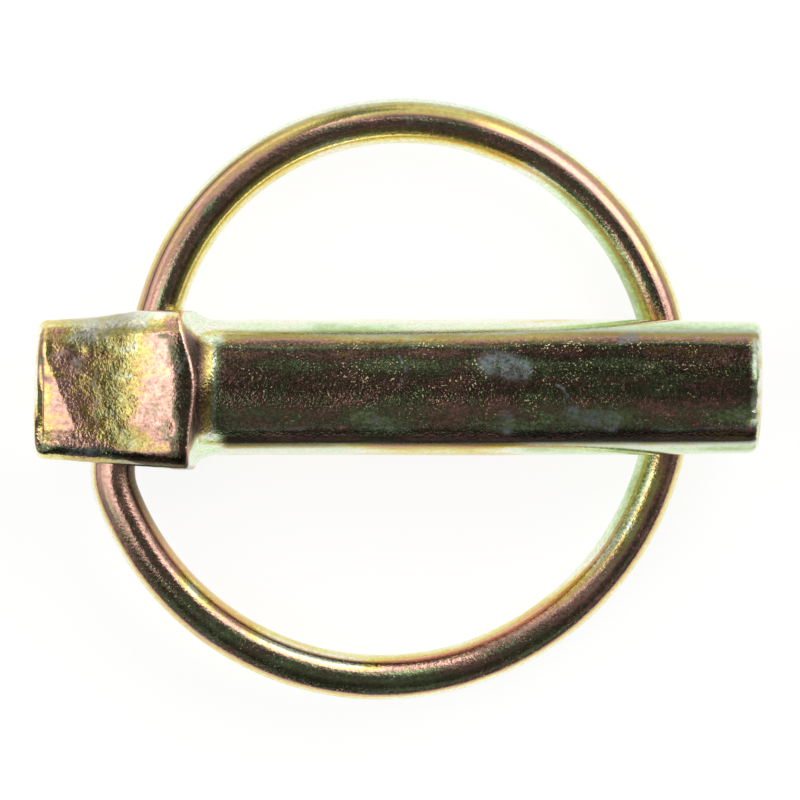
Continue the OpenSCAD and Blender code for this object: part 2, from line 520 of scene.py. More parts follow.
@dataclass
class Look:
    """What the chromate material reads from each vertex.

    Attributes:
        film: Place in the run of film colours; whole turns don't matter.
        drift: How strongly the colour patches show.
        tone: Painted lightness of the film: painted shade below 1 and painted highlights above 1.
        dull: 1 where the film is chalky and matt.
        speck: How thickly the bright crystals lie.
        grain: Strength of the fine grain.
    """

    film: Array
    drift: Array
    tone: Array
    dull: Array
    speck: Array
    grain: Array

    def toward(self, other: "Look", share: Array) -> "Look":
        """Look between this one and another."""
        names = [layer.name for layer in fields(self)]
        return Look(**{name: mix(getattr(self, name), getattr(other, name), share) for name in names})

    def paint(self, mesh: bpy.types.Mesh) -> None:
        """Stores each layer on the vertices under its own name.

        Args:
            mesh: Mesh of the piece.
        """
        for item in fields(self):
            values = np.broadcast_to(getattr(self, item.name), len(mesh.vertices))
            layer = mesh.attributes.new(item.name, "FLOAT", "POINT")
            layer.data.foreach_set("value", np.ascontiguousarray(values, np.float32))


@dataclass
class Coat:
    """Film and painted lightness of a surface while its look is being worked out.

    Attributes:
        film: Place in the run of film colours.
        tone: Painted lightness of the film: painted shade below 1 and painted highlights above 1.
    """

    film: Array
    tone: Array

    def lay(self, film: Amount, tone: Amount, share: Array) -> None:
        """Lays another film and painted lightness over this coat where share is above 0."""
        self.film = mix(self.film, film, share)
        self.tone = mix(self.tone, tone, share)


@dataclass(frozen=True)
class Scuff:
    """A dulled mark on the pin's top, drawn along a path in millimetres.

    Attributes:
        path: Points (x, y) along the mark.
        half_width: Half of its width.
        strength: How dull its middle is.
    """

    path: tuple[tuple[float, float], ...]
    half_width: float
    strength: float

    def mask(self, x: Array, y: Array, waver: Array) -> Array:
        """Dullness that the mark gives each place.

        Args:
            x: Places along the shank.
            y: Places across it.
            waver: Noise that roughens the mark's outline.

        Returns:
            Values from 0 to the mark's strength.
        """
        away = np.full(x.shape, np.inf)
        for (ax, ay), (bx, by) in zip(self.path, self.path[1:]):
            run_x, run_y = bx - ax, by - ay
            share = ((x - ax) * run_x + (y - ay) * run_y) / (run_x**2 + run_y**2)
            share = np.clip(share, 0.0, 1.0)
            away = np.minimum(away, np.hypot(x - ax - share * run_x, y - ay - share * run_y))
        return self.strength * ease(1.35, 0.6, away / self.half_width + 0.35 * waver)


@dataclass
class Forging:
    """The pin: an upset head, a round shank and a cropped tip, forged as one and drilled.

    Sizes are in millimetres, in the pin's own frame.

    Attributes:
        frame: The pin's frame.
        finish: Material of its plating.
        shank_len: Place of the cropped tip.
        tip_r: Radius at the tip.
        tip_round: Rounding of the tip's edge.
        tip_crown: Crown of the tip's face.
        end_x: Place of the head's outer end.
        end_round: Rounding round that end.
        end_crown: Crown of that end.
        neck_fillet: Radius of the fillet from the shank to the shoulder.
        neck_start: Place where the fillet leaves the shank.
        neck_x: Place where the fillet meets the shoulder.
        far_edge: Rounding of the head's two long edges on the far side.
        near_edge: Rounding of the two on the near side.
        ridge_place: Place of the ridge at the shoulder, at the middles of the head's sides.
        ridge_bow: How much farther back it lies at the corners.
        corner_bow: How much more at the far corner of the head's top.
        ridge_round: Rounding of the ridge.
        shoulder_dish: Depth of the hollow between the ridge and the neck.
        chip_depth: Depth of the chips round the tip where their noise is near its highest.
        sharp_angle: Bend in degrees above which an edge is left crisp.
        around: Points in each section.
        right_width: Places along the head and its half width towards +Y.
        left_width: The same towards -Y.
        top_height: The same towards +Z.
        bottom_height: The same towards -Z.
        scuffs: Dulled marks on the pin's top.
    """

    frame: PinFrame
    finish: bpy.types.Material
    shank_len: float = 44.9
    tip_r: float = 5.43
    tip_round: float = 0.8
    tip_crown: float = 0.2
    end_x: float = -14.72
    end_round: float = 0.95
    end_crown: float = 0.12
    neck_fillet: float = 2.64
    neck_start: float = 0.4
    neck_x: float = -1.3
    far_edge: float = 2.1
    near_edge: float = 1.35
    ridge_place: float = -1.56
    ridge_bow: float = 0.5
    corner_bow: float = 0.55
    ridge_round: float = 0.26
    shoulder_dish: float = 0.06
    chip_depth: float = 0.34
    sharp_angle: float = 38.0
    around: int = 256
    right_width: Curve = (
        (-14.7, 5.50), (-13.0, 5.55), (-10.5, 5.68), (-8.3, 5.9), (-6.3, 6.2), (-4.5, 6.29), (-1.5, 6.28),
    )
    left_width: Curve = (
        (-14.7, 5.8), (-13.0, 5.88), (-10.2, 6.09), (-6.3, 6.42), (-4.0, 6.62), (-2.5, 6.72), (-1.5, 6.72),
    )
    top_height: Curve = (
        (-14.7, 5.60), (-12.0, 5.65), (-10.0, 5.68), (-9.0, 5.71), (-8.0, 5.76), (-7.2, 5.82),
        (-6.5, 5.90), (-4.8, 6.19), (-3.15, 6.50), (-2.8, 6.53), (-1.5, 6.50),
    )
    bottom_height: Curve = (
        (-14.7, 5.6), (-12.0, 5.7), (-9.6, 5.78), (-7.5, 6.0), (-5.5, 6.3), (-3.5, 6.5), (-1.5, 6.5),
    )
    scuffs: tuple[Scuff, ...] = (
        Scuff(((22.7, 1.9), (25.1, 1.5)), 0.95, 0.8),
        Scuff(((24.0, -2.3), (24.1, -3.1)), 0.62, 0.9),
        Scuff(((29.2, -2.2), (32.5, -2.8)), 0.72, 0.9),
        Scuff(((28.0, 0.3), (28.6, 0.0), (29.1, -1.0)), 0.09, 0.9),
        Scuff(((15.2, 2.6), (15.8, 1.6), (15.6, 0.6), (15.1, -0.1)), 0.09, 0.7),
        Scuff(((33.5, 3.9), (34.6, 4.1)), 0.35, 0.8),
        Scuff(((-11.1, 2.1), (-11.0, 1.5)), 0.4, 0.8),
        Scuff(((-13.5, 2.4), (-9.3, 3.9), (-7.8, 5.1)), 0.1, 0.8),
        Scuff(((-9.4, 1.5), (-9.7, 0.2), (-9.2, -0.6), (-9.6, -1.6), (-9.5, -3.0)), 0.11, 0.9),
        Scuff(((-2.0, 2.7), (-2.8, 1.2)), 0.11, 0.9),
    )

    def angles(self) -> Array:
        """Directions round the axis, from +Y to +Z, closer together at the head's corners."""
        t = np.arange(self.around) * 2 * math.pi / self.around
        return t + 0.35 * np.sin(4 * t) / 4

    def box_radius(self, x: Array, angle: Array) -> Array:
        """Distance from the axis to the head's rounded-square skin.

        Args:
            x: Places along the shank.
            angle: Directions round it.

        Returns:
            Radii.
        """
        cos, sin = np.cos(angle), np.sin(angle)
        half_y = np.where(cos > 0, smooth_curve(self.right_width, x), smooth_curve(self.left_width, x))
        half_z = np.where(sin > 0, smooth_curve(self.top_height, x), smooth_curve(self.bottom_height, x))
        y, z = np.maximum(np.abs(cos), LEAST_DIVISOR), np.maximum(np.abs(sin), LEAST_DIVISOR)
        edge = np.where(cos > 0, self.far_edge, self.near_edge)
        mid_y, mid_z = half_y - edge, half_z - edge
        out = mid_y * y + mid_z * z
        arc = out + np.sqrt(np.maximum(out**2 - mid_y**2 - mid_z**2 + edge**2, 0.0))
        side, cap = half_y / y, half_z / z
        return np.where(side * z <= mid_z, side, np.where(cap * y <= mid_y, cap, arc))

    def ridge_x(self, angle: Array) -> Array:
        """Place of the shoulder's ridge, bowed back towards the head's corners.

        Args:
            angle: Directions round the axis.

        Returns:
            Places along the shank.
        """
        corner = (1.0 - np.cos(4 * angle)) / 2
        top_far = np.exp(-((np.degrees(angle) % 360 - 48.0) / 18.0) ** 2)
        return self.ridge_place - self.ridge_bow * corner - self.corner_bow * top_far

    def skin(self) -> Array:
        """Points of the forging, from the outer end's pole to the tip's pole.

        Returns:
            Array of stations by directions by (x, y, z).
        """
        angle = self.angles()
        rows: list[tuple[Amount, Amount]] = []

        # The crowned outer end and the rounding into the head's sides.
        body_x = self.end_x + self.end_round
        end_r = self.box_radius(np.full_like(angle, body_x), angle)
        for k in np.linspace(0.04, 0.96, 14):
            rows.append((self.end_x + self.end_crown * k * k, k * (end_r - self.end_round)))
        for a in np.radians(np.linspace(0.0, 84.0, 9)):
            x = self.end_x + self.end_crown + (self.end_round - self.end_crown) * (1 - math.cos(a))
            rows.append((x, end_r - self.end_round * (1 - math.sin(a))))

        # The head's sides, as far as the rounding of the ridge.
        ridge = self.ridge_x(angle)
        last_x = ridge - self.ridge_round
        for t in np.linspace(0.0, 1.0, 96):
            x = mix(body_x, last_x, t)
            rows.append((x, self.box_radius(x, angle)))

        # The ridge, the hollow shoulder and the fillet into the shank.
        ridge_r = self.box_radius(ridge, angle)
        neck_run = self.neck_start - self.neck_x
        neck_r = self.frame.shank_r + self.neck_fillet - math.sqrt(self.neck_fillet**2 - neck_run**2)
        run = np.hypot(self.neck_x - ridge, ridge_r - neck_r)
        over_x = ridge + self.ridge_round * (self.neck_x - ridge) / run
        over_r = ridge_r + self.ridge_round * (neck_r - ridge_r) / run
        last_r = self.box_radius(last_x, angle)
        for t in np.linspace(0.0, 1.0, 10)[1:]:
            a, b, c = (1 - t) ** 2, 2 * t * (1 - t), t * t
            rows.append((a * last_x + b * ridge + c * over_x, a * last_r + b * ridge_r + c * over_r))
        for t in np.linspace(0.0, 1.0, 8)[1:]:
            dish = self.shoulder_dish * math.sin(math.pi * t)
            rows.append((mix(over_x, self.neck_x, t) - dish, mix(over_r, neck_r, t)))
        start = math.acos(neck_run / self.neck_fillet)
        for a in np.linspace(start, math.pi / 2, 16)[1:]:
            x = self.neck_start - self.neck_fillet * math.cos(a)
            r = self.frame.shank_r + self.neck_fillet * (1 - math.sin(a))
            rows.append((x, r))

        # The shank, which tapers slightly past its grip, and the crowned tip.
        tip_x = self.shank_len - self.tip_round
        for x in np.linspace(self.neck_start, tip_x, 160)[1:]:
            taper = max(0.0, (x - self.frame.grip_len) / (self.shank_len - self.frame.grip_len))
            rows.append((x, mix(self.frame.shank_r, self.tip_r, taper)))
        for a in np.radians(np.linspace(0.0, 90.0, 10))[1:]:
            x = tip_x + self.tip_round * math.sin(a)
            rows.append((x, self.tip_r - self.tip_round * (1 - math.cos(a))))
        for k in np.linspace(0.96, 0.04, 14):
            x = self.shank_len + self.tip_crown * (1 - k * k)
            rows.append((x, k * (self.tip_r - self.tip_round)))

        sections = [np.broadcast_arrays(x, r * np.cos(angle), r * np.sin(angle)) for x, r in rows]
        return np.stack(sections).transpose(0, 2, 1)

    @staticmethod
    def normals(grid: Array) -> Array:
        """Outward directions of a grid.

        Args:
            grid: Points, by station and direction.

        Returns:
            Unit vectors, in the same order.
        """
        along = np.gradient(grid, axis=0)
        round_ = np.roll(grid, -1, axis=1) - np.roll(grid, 1, axis=1)
        out = np.cross(round_, along)
        return out / np.maximum(np.linalg.norm(out, axis=-1, keepdims=True), LEAST_DIVISOR)

    def worn(self, grid: Array) -> Array:
        """Lays the slants, forging lumps and dents over the skin.

        Args:
            grid: Points from skin().

        Returns:
            Points of the finished surface.
        """
        x, y, z = grid[..., 0], grid[..., 1], grid[..., 2]
        fold = -2.4
        end_lean = 0.045 * np.where(y > fold, y - fold, 0.3 * (fold - y)) * ease(-10.0, -14.0, x)
        tip_lean = (0.02 * (y - 2.0) - 0.012 * np.clip(-y - 2.5, 0, 9) ** 2) * ease(41.5, 44.0, x)
        grid = grid.copy()
        grid[..., 0] = x + end_lean + tip_lean
        out = self.normals(grid)
        upward = ease(0.55, 0.9, out[..., 2])

        lumps = LatticeNoise(11)
        stretched = grid * np.array([0.45, 1.0, 1.0])
        head = ease(-0.5, -3.0, x)
        push = mix(0.03, 0.06, head) * lumps.fractal(stretched, 4.5, 2)
        push += 0.022 * head * lumps.fractal(grid + 40.0, 1.0, 2)
        push -= upward * head * self.facet_depth(x, y)
        push -= upward * self.dent(x, y)
        push -= self.tip_chips(x, y, z)
        return grid + out * push[..., None]

    def tip_chips(self, x: Array, y: Array, z: Array) -> Array:
        """Depth of the small chips round the cropped tip's edge.

        Args:
            x: Places along the shank.
            y: Places across it.
            z: Heights.

        Returns:
            Depths in millimetres.
        """
        ragged = LatticeNoise(23).fractal(np.stack([0 * x, y, z], axis=-1), 1.1, 2)
        rim = ease(self.shank_len - 1.1, self.shank_len - 0.5, x) * ease(3.6, 4.6, np.hypot(y, z))
        return self.chip_depth * rim * np.maximum(ragged - 0.05, 0.0)

    @staticmethod
    def dent(x: Array, y: Array) -> Array:
        """Depth of the oval strike near the shoulder, deepest where the head stands highest.

        Args:
            x: Places along the shank.
            y: Places across it.

        Returns:
            Depths in millimetres.
        """
        mid_x, mid_y, half_x, half_y = -3.9, -3.3, 0.9, 1.0
        across = (x - mid_x) / half_x
        away = np.abs(across) ** 2.6 + np.abs((y - mid_y) / half_y) ** 2.6
        return (0.055 + 0.045 * across) * ease(1.4, 0.5, away)

    @staticmethod
    def facet_depth(x: Array, y: Array) -> Array:
        """Depth of the hammered facet at the outer corner of the head's top.

        Args:
            x: Places along the shank.
            y: Places across it.

        Returns:
            Depths in millimetres.
        """
        corner_x, corner_y, steepness = -11.2, -3.4, 0.2
        edge = corner_x + np.where(y > corner_y, -0.46, 1.2) * (y - corner_y)
        return steepness * np.maximum(edge - x, 0.0)

    def closed_mesh(self, grid: Array, name: str) -> bpy.types.Mesh:
        """Joins the grid's points into a closed skin with a pole at each end.

        Args:
            grid: Points in millimetres, in the pin's frame.
            name: Name of the mesh.

        Returns:
            The mesh in the row frame, in metres.
        """
        stations, count = grid.shape[:2]
        points = grid.reshape(-1, 3)
        poles = np.array([grid[0].mean(axis=0), grid[-1].mean(axis=0)])
        points = np.vstack([points, poles]) * MM
        turn = np.array(self.frame.matrix)
        points = points @ turn[:3, :3].T + turn[:3, 3]
        index = np.arange(stations * count).reshape(stations, count)
        after = np.roll(index, -1, axis=1)
        quads = np.stack([index[:-1], after[:-1], after[1:], index[1:]], axis=-1).reshape(-1, 4)
        first, last = stations * count, stations * count + 1
        faces = quads.tolist()
        faces += [(first, int(b), int(a)) for a, b in zip(index[0], after[0])]
        faces += [(last, int(a), int(b)) for a, b in zip(index[-1], after[-1])]
        mesh = bpy.data.meshes.new(name)
        mesh.from_pydata(points.tolist(), [], faces)
        mesh.validate()
        return mesh

    def build(self) -> bpy.types.Object:
        """Makes the pin.

        Returns:
            The finished piece.
        """
        grid = self.worn(self.skin())
        pin = placed("forged_pin", self.closed_mesh(grid, "forged_pin"))
        pin.data.materials.append(self.finish)
        self.drill(pin)
        self.dress(pin)
        return pin

    def drill(self, pin: bpy.types.Object) -> None:
        """Cuts the bore and its trumpet mouths through the head.

        Args:
            pin: The undrilled pin.
        """
        drill = BoreDrill(self.frame).build()
        cut = pin.modifiers.new("bore", "BOOLEAN")
        cut.object = drill
        cut.operation = "DIFFERENCE"
        cut.solver = "EXACT"
        shaped = settle(pin)
        bpy.data.objects.remove(drill)
        self.weld(shaped)
        shaped.shade_smooth()
        shaped.set_sharp_from_angle(angle=math.radians(self.sharp_angle))

    @staticmethod
    def weld(mesh: bpy.types.Mesh) -> None:
        """Joins the slivers that the cut leaves along the bore's mouths.

        Args:
            mesh: Mesh of the drilled pin.
        """
        skin = bmesh.new()
        skin.from_mesh(mesh)
        bmesh.ops.remove_doubles(skin, verts=skin.verts, dist=SLIVER)
        bmesh.ops.dissolve_degenerate(skin, edges=skin.edges, dist=SLIVER)
        long_faces = [face for face in skin.faces if len(face.verts) > 4]
        bmesh.ops.triangulate(skin, faces=long_faces)
        skin.to_mesh(mesh)
        skin.free()

    def dress(self, pin: bpy.types.Object) -> None:
        """Paints the film's look, with its painted shade and painted highlights, onto the pin.

        Args:
            pin: The drilled pin.
        """
        points, out = skin_points(pin.data, self.frame.matrix, self.frame.matrix)
        waver = LatticeNoise(5).fractal(points * np.array([0.5, 1.0, 1.0]), 2.4, 3)
        head = ease(1.3, 0.2, points[:, 0])
        shank, upset = self.shank_look(points, out, waver), self.head_look(points, out, waver)
        shank.toward(upset, head).paint(pin.data)

    def marks(self, points: Array, waver: Array) -> Array:
        """Dullness that the scuffs give the pin's top."""
        masks = [scuff.mask(points[:, 0], points[:, 1], waver) for scuff in self.scuffs]
        return np.max(masks, axis=0) * (points[:, 2] > 0)

    def shank_look(self, points: Array, out: Array, waver: Array) -> Look:
        """Look of the round shank: mottled, darkened on top and paled down both flanks and on the tip's face
        by painted light.

        Args:
            points: Vertex places in the pin's frame.
            out: Vertex normals in it.
            waver: Noise that makes the edges of the bands wander.

        Returns:
            The look, whose places are told by their angle from the top of the shank.
        """
        # Bands of film colour, and of painted shade and painted reflections, along the shank. Past its
        # middle their edges lie a little farther to the far side.
        x = points[:, 0]
        tilt = np.degrees(np.arctan2(points[:, 1], points[:, 2]))
        past_middle = ease(23, 27, x)
        shift = 3.2 * ease(30, 36, tilt) + 2.0 * ease(-30, -36, tilt)
        place = tilt - shift * past_middle + 8 * waver * ease(66, 84, np.abs(tilt))
        film = smooth_curve(
            [(-180, 0.2), (-110, 0.2), (-92, 0.22), (-84, 0.06), (-76, -0.04), (-68, -0.08), (-62, 0.06),
             (-58, 0.15), (-54, -0.4), (-40, -0.38), (-30, -0.34), (-12, -0.45), (5, -0.46), (20, -0.36),
             (35, -0.3), (39, 0.26), (46, 0.22), (50, 0.1), (54, -0.06), (61, -0.1), (68, -0.08), (76, 0.0),
             (85, 0.02), (92, 0.3), (120, 0.22), (180, 0.2)],
            place,
        )
        near_rim, far_rim = ease(-55, -59, place), ease(41, 48, place)
        far_edge = ease(25, 33, x) * band(41, 46, 54, 61, tilt)
        film += near_rim * 0.14 * ease(9, 15, x) * (1 - 1.7 * past_middle)
        film += 0.08 * (waver * (near_rim + far_rim) + far_edge)
        tone = smooth_curve(
            [(-180, 0.9), (-80, 0.92), (-66, 0.88), (-62, 0.74), (-58.5, 0.4), (-55.8, 0.08), (-46, 0.1),
             (-40, 0.5), (-35, 1.1), (-28, 1.3), (-22, 1.2), (-15, 0.7), (-9, 0.45), (2, 0.36), (12, 0.22),
             (20, 0.19), (28, 0.26), (34, 0.3), (38, 0.28), (41, 0.5), (44, 0.6), (50, 0.5), (54, 0.66),
             (60, 0.95), (70, 1.0), (180, 0.9)],
            place + 0.5 * waver,
        )
        # More painted shade: on the top past the shank's middle, on its far edge, and on the near rim by the
        # head.
        tone *= 1.0 - 0.55 * ease(18, 30, x) * band(6, 16, 38, 44, tilt) - 0.2 * far_edge
        tone *= 1.0 - 0.35 * ease(13, 8, x) * band(-66, -62, -58, -56, tilt)

        # The worn line on the top's near side; the crop's edge round the tip, dulled and lightened with a
        # painted highlight; and the tip's face, with an even painted lightness.
        top = (1 - near_rim) * (1 - far_rim)
        face = ease(0.6, 0.9, out[:, 0])
        wear = np.exp(-(((tilt + 36.5 + 2 * waver) / 2.4) ** 2)) * ease(-0.9, 0.3, waver) * ease(0.5, 3.0, x)
        crop = ease(self.shank_len - 0.95, self.shank_len - 0.5, x) * top * ease(-46, -34, tilt)
        coat = Coat(film, tone)
        coat.lay(-0.1 + 0.25 * waver, 0.72 + 0.3 * waver, crop)
        coat.lay(0.1 + 0.2 * waver, 0.9, face)
        top = top * (1 - face)
        return Look(
            film=coat.film,
            drift=mix(0.35, 1.0, top),
            tone=np.clip(coat.tone, 0.05, 1.3),
            dull=np.maximum(self.marks(points, waver), 0.6 * wear + 0.5 * crop) * (1 - face),
            speck=top * ease(-41, -35, tilt) * (0.8 + 0.8 * np.exp(-(((tilt - 38) / 3) ** 2))),
            grain=mix(0.25, 1.0, top),
        )

    def head_look(self, points: Array, out: Array, waver: Array) -> Look:
        """Look of the upset head: gritty on top, with painted shade along its near edge and its shoulder.

        Args:
            points: Vertex places in the pin's frame.
            out: Vertex normals in it.
            waver: Noise that makes the edges of the patches wander.

        Returns:
            The look. Flanks are told by tilt and lean, the normal's angles across and along the head.
        """
        x, y = points[:, 0], points[:, 1]
        tilt = np.degrees(np.arctan2(out[:, 1], out[:, 2]))
        lean = np.degrees(np.arctan2(out[:, 0], np.hypot(out[:, 1], out[:, 2])))
        top = ease(0.5, 0.8, out[:, 2])
        past = x - self.ridge_x(np.arctan2(points[:, 2], y))

        # Bands of film colour, and of painted highlights and painted shade, across the head, changed along
        # the far and the near edge of its top, where more painted shade lies.
        film = smooth_curve(
            [(-15.0, 0.2), (-14.0, 0.14), (-13.2, 0.26), (-12.5, 0.34), (-11.7, 0.37), (-11.0, 0.32),
             (-9.6, 0.28), (-8.6, 0.22), (-7.4, 0.15), (-6.5, 0.17), (-5.7, 0.26), (-4.6, 0.34),
             (-3.2, 0.37)],
            x + 0.8 * waver,
        )
        tone = smooth_curve(
            [(-14.0, 1.05), (-12.4, 0.92), (-11.8, 0.84), (-11.0, 0.78), (-9.6, 0.72), (-8.4, 0.66),
             (-7.4, 0.62), (-6.6, 0.82), (-5.9, 0.98), (-5.0, 1.16), (-3.7, 1.25)],
            x + 0.4 * waver,
        )
        green = ease(2.9, 4.1, y) * band(-12.6, -11.2, -6.8, -5.0, x)
        film = mix(film - 0.07 * ease(1.5, 4.5, y) * ease(-13.0, -12.0, x), 0.085, green)
        tone *= 1.0 - 0.1 * ease(3.2, 4.1, y) * band(-13.0, -11.5, -5.4, -4.2, x)
        tone *= 1.0 - 0.35 * ease(-2.7, -3.4, y + 0.3 * waver) * ease(-8.4, -6.8, x)
        coat = Coat(film, tone)

        # The strip before the ridge, darkened with painted shade.
        strip = ease(-1.6, -1.3, past + 0.12 * waver) * (1.0 - 0.7 * ease(3.2, 4.2, y))
        coat.lay(0.55, 0.45, strip)

        # The near side with its lip on the top, darkened with painted shade; the rims; the flanks; and the
        # outer end's edge, darkened with painted shade.
        dark_from, dark_to = -9.0 - 13 * waver, -38.0 - 24 * ease(-8.0, -5.0, x)
        above = ease(dark_to - 5, dark_to, tilt)
        lip = ease(0.0, -0.4, y + 4.6 + 0.75 * ease(-9.5, -6.5, x) + 0.4 * waver) * above * top
        near_band = ease(dark_from, dark_from - 8, tilt) * above * ease(-65, -55, lean)
        near_band = np.maximum(near_band, lip)
        coat.lay(0.6, 0.14 + 0.16 * ease(-0.2, 0.6, waver), near_band)
        rim = np.maximum(ease(dark_to, dark_to - 8, tilt), ease(40, 52, tilt))
        coat.lay(-0.04 + 0.1 * waver, coat.tone, rim * top)
        coat.lay(0.04 + 0.12 * waver, coat.tone, (1 - top) * ease(-30, 10, -lean))
        coat.lay(0.5, 0.55, band(-52, -44, -26, -20, lean) * top)

        # The shoulder and the neck, with painted shade and a painted highlight on the neck's fillet, then
        # the ridge's bright line, a painted highlight, and the oval strike.
        middle = ease(47, 35, np.abs(np.degrees(np.arctan2(y, points[:, 2]))))
        shoulder = ease(0.03, 0.2, past)
        near = x + 0.12 * waver
        neck_painted_light = smooth_curve(
            [(-2.7, 0.3), (-1.6, 0.2), (-1.2, 0.1), (-0.8, 0.32), (-0.3, 0.7), (0.4, 0.6)], near
        )
        neck_film = smooth_curve(
            [(-2.7, 0.4), (-1.1, 0.4), (-0.7, 0.24), (-0.1, 0.14), (0.4, -0.28), (1.0, -0.42)], near
        )
        coat.lay(mix(-0.1, neck_film, middle), mix(1.0, neck_painted_light, middle), shoulder)
        coat.lay(0.37, 1.3, np.exp(-((past / 0.17) ** 2)) * middle)
        coat.lay(0.41, 1.0, ease(0.015, 0.06, self.dent(x, y)) * top)

        grit = ease(-3.0, -3.9, y) * ease(-7.6, -8.8, x) * top
        chalk = 0.9 * near_band * ease(-0.2, 0.5, waver) * ease(0.1, -0.1, past)
        grain = mix(0.4, mix(0.85, 1.0, ease(-9.0, -7.0, x)), top)
        return Look(
            film=coat.film,
            drift=mix(0.4, mix(0.85, 0.3, strip), top),
            tone=np.clip(coat.tone, 0.05, 1.25),
            dull=self.marks(points, waver) + chalk,
            speck=top * (0.3 + grit),
            grain=grain + 0.9 * grit + 0.5 * shoulder * middle,
        )


@dataclass
class BoreDrill:
    """Cutter for the skewed bore: a straight hole that opens like a trumpet at both mouths.

    Attributes:
        frame: The pin's frame.
        hole_r: Radius of the straight hole, in millimetres like every size here.
        mouth: Distance of each mouth from the bore's middle.
        sink: Depth of the trumpet inside the mouth.
        flare: How much wider it is at the mouth, on the radius.
        reach: Distance of the cutter's ends from its middle.
        reach_flare: How much wider it is there, in flares.
        around: Points in each section.
    """

    frame: PinFrame
    hole_r: float = 1.93
    mouth: float = 6.8
    sink: float = 1.7
    flare: float = 0.95
    reach: float = 9.0
    reach_flare: float = 2.4
    around: int = 72

    def build(self) -> bpy.types.Object:
        """Makes the cutter, turned from one profile.

        Returns:
            The cutter, kept out of renders.
        """
        inner = self.mouth - self.sink
        half = [(inner + self.sink * t, self.hole_r + self.flare * t**2) for t in np.linspace(0, 1, 8)]
        half.append((self.reach, self.hole_r + self.reach_flare * self.flare))
        profile = [(-s, r) for s, r in reversed(half)] + half
        angle = np.arange(self.around) * 2 * math.pi / self.around
        points = [Vector((r * math.cos(a), s, r * math.sin(a))) * MM for s, r in profile for a in angle]
        count, n = len(profile), self.around
        faces = [
            (k * n + j, k * n + (j + 1) % n, (k + 1) * n + (j + 1) % n, (k + 1) * n + j)
            for k in range(count - 1) for j in range(n)
        ]
        faces.append(tuple(reversed(range(n))))
        faces.append(tuple((count - 1) * n + j for j in range(n)))
        mesh = bpy.data.meshes.new("bore_drill")
        mesh.from_pydata([self.frame.bore_matrix() @ p for p in points], [], faces)
        mesh.validate()
        drill = placed("bore_drill", mesh)
        drill.hide_render = True
        return drill


